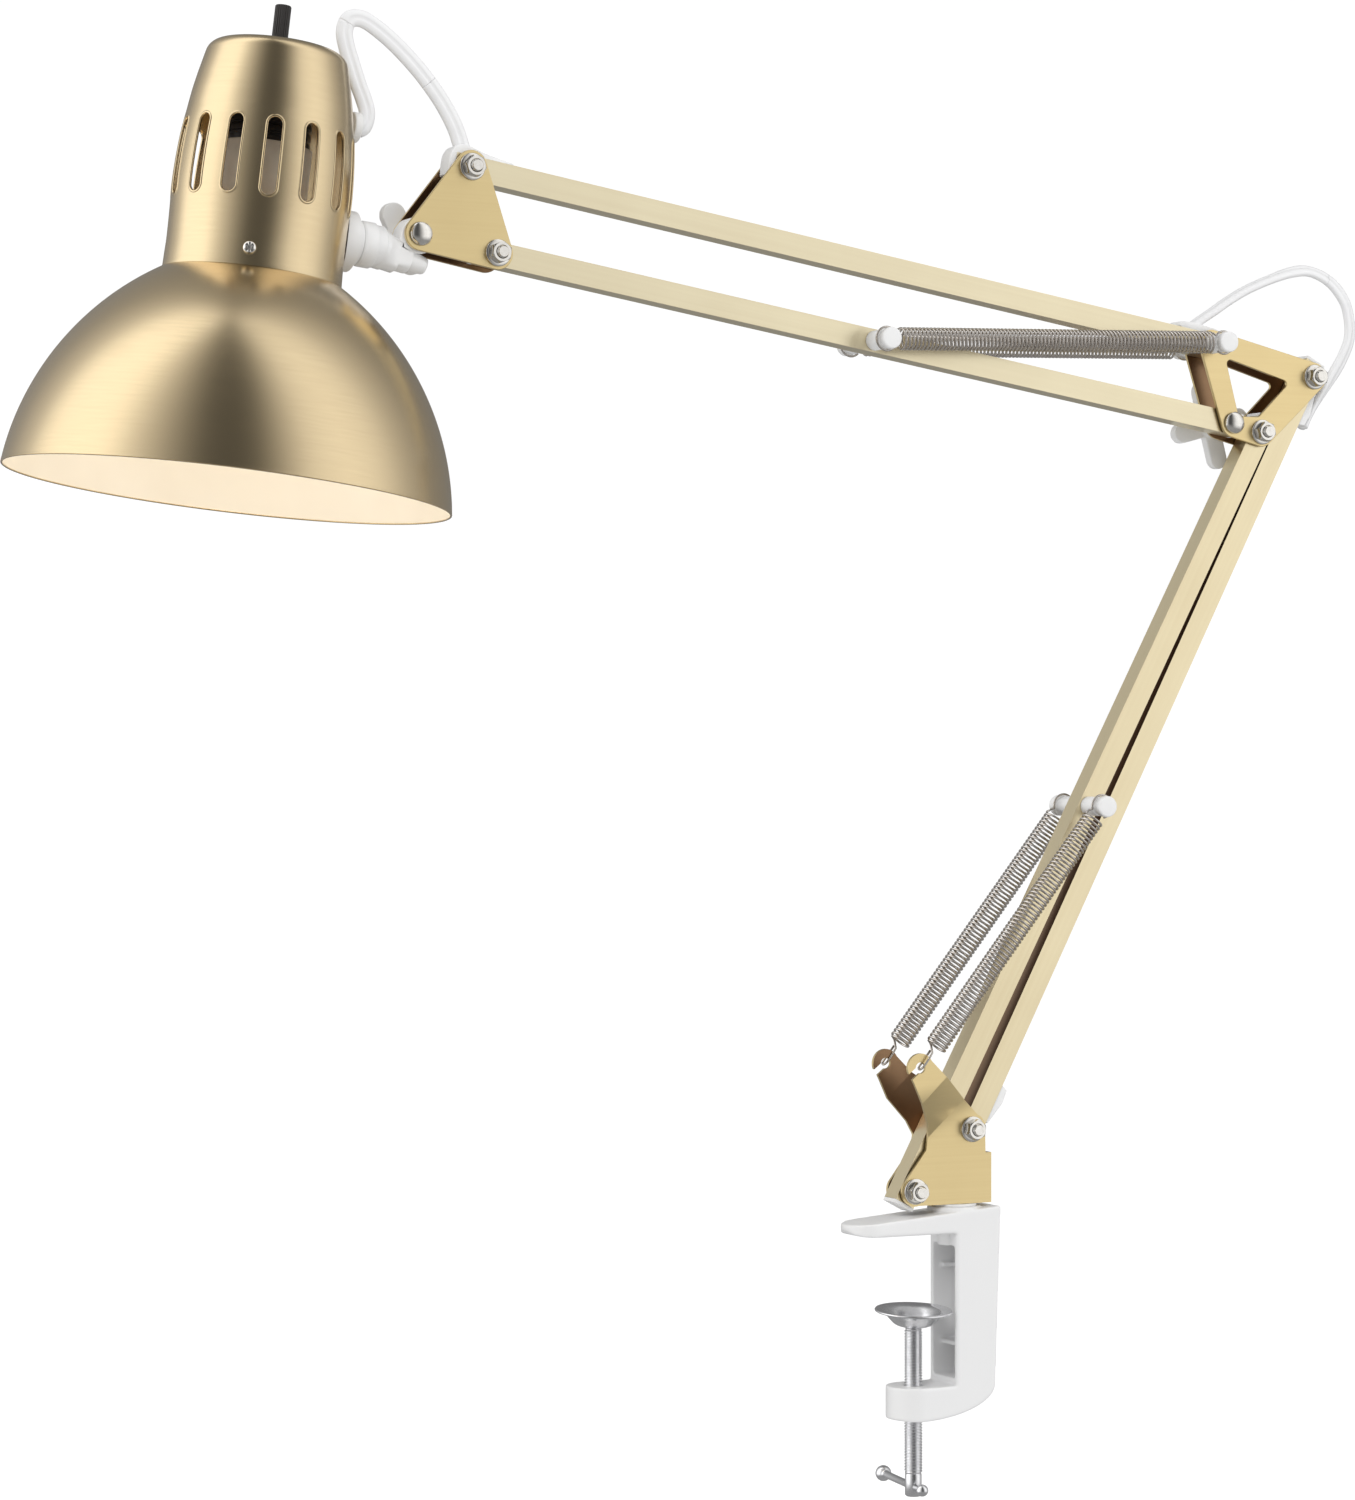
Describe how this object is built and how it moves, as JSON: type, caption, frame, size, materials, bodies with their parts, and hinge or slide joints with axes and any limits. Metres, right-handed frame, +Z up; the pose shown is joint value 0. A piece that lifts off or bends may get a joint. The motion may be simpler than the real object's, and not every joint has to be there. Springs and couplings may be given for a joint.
{
  "type": "desk lamp",
  "caption": "Clamp-on swing arm desk lamp: two parallelogram arms of square tube with balance springs, a dome shade on a tilting, turning head, and a screw clamp.",
  "frame": {"origin": "where the clamp screw's axis meets the underside of the top jaw, which rests on the desk top", "axes": "+Z up, the arms lie in the XZ plane, the head reaches towards -X, +Y away from the side with the nuts"},
  "size_m": [0.6344, 0.181, 0.6231],
  "materials": {
    "brass_paint": "satin",
    "bar_paint": "satin",
    "white_paint": "gloss",
    "white_plastic": "gloss",
    "black_plastic": "satin",
    "beige_plastic": "satin",
    "spring_steel": "bright",
    "bolt_steel": "bright",
    "bulb_glass": "opal"
  },
  "bodies": {
    "clamp": {"clamp_body": "white_paint", "swivel_bush": "white_plastic"},
    "pad_stud": {"pad_spigot": "bolt_steel"},
    "pad": {"pressure_pad": "bolt_steel"},
    "screw": {"clamp_screw": "bolt_steel"},
    "tommy": {"tommy_bar": "bolt_steel"},
    "base_bracket": {"base_bracket": "brass_paint", "swivel_pin": "bolt_steel", "base_bolts": "bolt_steel", "base_nuts": "bolt_steel", "base_washers": "bolt_steel", "base_spacers": "white_plastic"},
    "lower_bar_front": {"lower_front_tube": "bar_paint", "lower_front_plugs": "white_plastic", "lower_spring_posts": "white_plastic", "lower_spring_near": "spring_steel", "lower_spring_far": "spring_steel"},
    "lower_bar_rear": {"lower_rear_tube": "bar_paint", "lower_rear_plugs": "white_plastic", "lower_cord_guides": "white_plastic", "lower_lead": "white_plastic"},
    "elbow": {"elbow_plate_near": "brass_paint", "elbow_plate_far": "brass_paint", "elbow_bolts": "bolt_steel", "elbow_nuts": "bolt_steel", "elbow_washers": "bolt_steel", "elbow_spacers": "white_plastic", "elbow_spring_posts": "white_plastic", "elbow_cord": "white_plastic"},
    "elbow_knob": {"elbow_knob": "white_plastic"},
    "upper_bar_top": {"upper_top_tube": "bar_paint", "upper_top_plugs": "white_plastic", "upper_cord_guides": "white_plastic", "upper_lead": "white_plastic"},
    "upper_bar_bottom": {"upper_bottom_tube": "bar_paint", "upper_bottom_plugs": "white_plastic", "upper_spring_posts": "white_plastic", "upper_spring_near": "spring_steel", "upper_spring_far": "spring_steel"},
    "head_bracket": {"head_plate_near": "brass_paint", "head_plate_far": "brass_paint", "head_bolts": "bolt_steel", "head_nuts": "bolt_steel", "head_washers": "bolt_steel", "head_spacers": "white_plastic", "head_cord": "white_plastic"},
    "head_knob": {"head_knob": "white_plastic"},
    "knuckle": {"knuckle": "white_plastic"},
    "head": {"swivel_flange": "white_plastic", "socket_cup": "brass_paint", "cup_screws": "bolt_steel", "shade": "brass_paint", "lampholder": "black_plastic", "holder_sleeve": "beige_plastic", "bulb": "bulb_glass", "switch_nut": "bolt_steel", "cord_gland": "white_plastic"},
    "switch_knob": {"switch_knob": "black_plastic"}
  },
  "joints": [
    {"name": "pad_feed", "type": "slide", "parent": "clamp", "child": "pad_stud", "axis": [0, 0, 1], "range_m": [-0.02375, 0.025]},
    {"name": "screw_turn", "type": "hinge", "parent": "pad_stud", "child": "screw", "pos_m": [0, 0, 0], "axis": [0, 0, 1], "range_deg": [-6840, 7200]},
    {"name": "pad_tilt", "type": "hinge", "parent": "pad_stud", "child": "pad", "pos_m": [0, 0, -0.0404], "axis": [1, 0, 0], "range_deg": [-9, 2]},
    {"name": "tommy_slide", "type": "slide", "parent": "screw", "child": "tommy", "axis": [0.1392, 0.9903, 0], "range_m": [-0.028, 0.004]},
    {"name": "base_swivel", "type": "hinge", "parent": "clamp", "child": "base_bracket", "pos_m": [0.02, 0, 0], "axis": [0, 0, 1], "continuous": true},
    {"name": "lower_arm", "type": "hinge", "parent": "base_bracket", "child": "lower_bar_rear", "pos_m": [0.0253, 0, 0.0443], "axis": [0, 1, 0], "range_deg": [-50, 0.5]},
    {"name": "lower_front", "type": "hinge", "parent": "base_bracket", "child": "lower_bar_front", "pos_m": [-0.003, 0, 0.0185], "axis": [0, 1, 0], "range_deg": [-50, 0.5], "deforming": ["lower_spring_near", "lower_spring_far"]},
    {"name": "elbow_level", "type": "hinge", "parent": "lower_bar_rear", "child": "elbow", "pos_m": [0.20392, 0, 0.37743], "axis": [0, 1, 0], "range_deg": [-0.5, 50], "deforming": ["elbow_cord"]},
    {"name": "upper_arm", "type": "hinge", "parent": "elbow", "child": "upper_bar_top", "pos_m": [0.14922, 0, 0.39003], "axis": [0, 1, 0], "range_deg": [-50, 35]},
    {"name": "upper_bottom", "type": "hinge", "parent": "elbow", "child": "upper_bar_bottom", "pos_m": [0.16072, 0, 0.35533], "axis": [0, 1, 0], "range_deg": [-50, 35], "deforming": ["upper_spring_near", "upper_spring_far"]},
    {"name": "head_level", "type": "hinge", "parent": "upper_bar_top", "child": "head_bracket", "pos_m": [-0.21118, 0, 0.44776], "axis": [0, 1, 0], "range_deg": [-35, 50], "deforming": ["head_cord"]},
    {"name": "head_tilt", "type": "hinge", "parent": "head_bracket", "child": "knuckle", "pos_m": [-0.23378, 0, 0.41916], "axis": [0, 1, 0], "range_deg": [-50, 30]},
    {"name": "head_swivel", "type": "hinge", "parent": "knuckle", "child": "head", "pos_m": [-0.25901, 0, 0.4147], "axis": [0.9925, 0, -0.1219], "range_deg": [-45, 45]},
    {"name": "switch_turn", "type": "hinge", "parent": "head", "child": "switch_knob", "pos_m": [-0.29257, 0, 0.49428], "axis": [0.1219, 0, 0.9925], "continuous": true},
    {"name": "elbow_knob_turn", "type": "hinge", "parent": "elbow", "child": "elbow_knob", "pos_m": [0.16072, 0.012, 0.35533], "axis": [0, 1, 0], "continuous": true},
    {"name": "head_knob_turn", "type": "hinge", "parent": "head_bracket", "child": "head_knob", "pos_m": [-0.23378, 0.012, 0.41916], "axis": [0, 1, 0], "continuous": true}
  ],
  "couplings": [
    {"joint": "pad_feed", "follows": "screw_turn", "m_per_rad": 0.00019894},
    {"joint": "lower_front", "follows": "lower_arm", "ratio": 1},
    {"joint": "elbow_level", "follows": "lower_arm", "ratio": -1},
    {"joint": "upper_bottom", "follows": "upper_arm", "ratio": 1},
    {"joint": "head_level", "follows": "upper_arm", "ratio": -1}
  ]
}
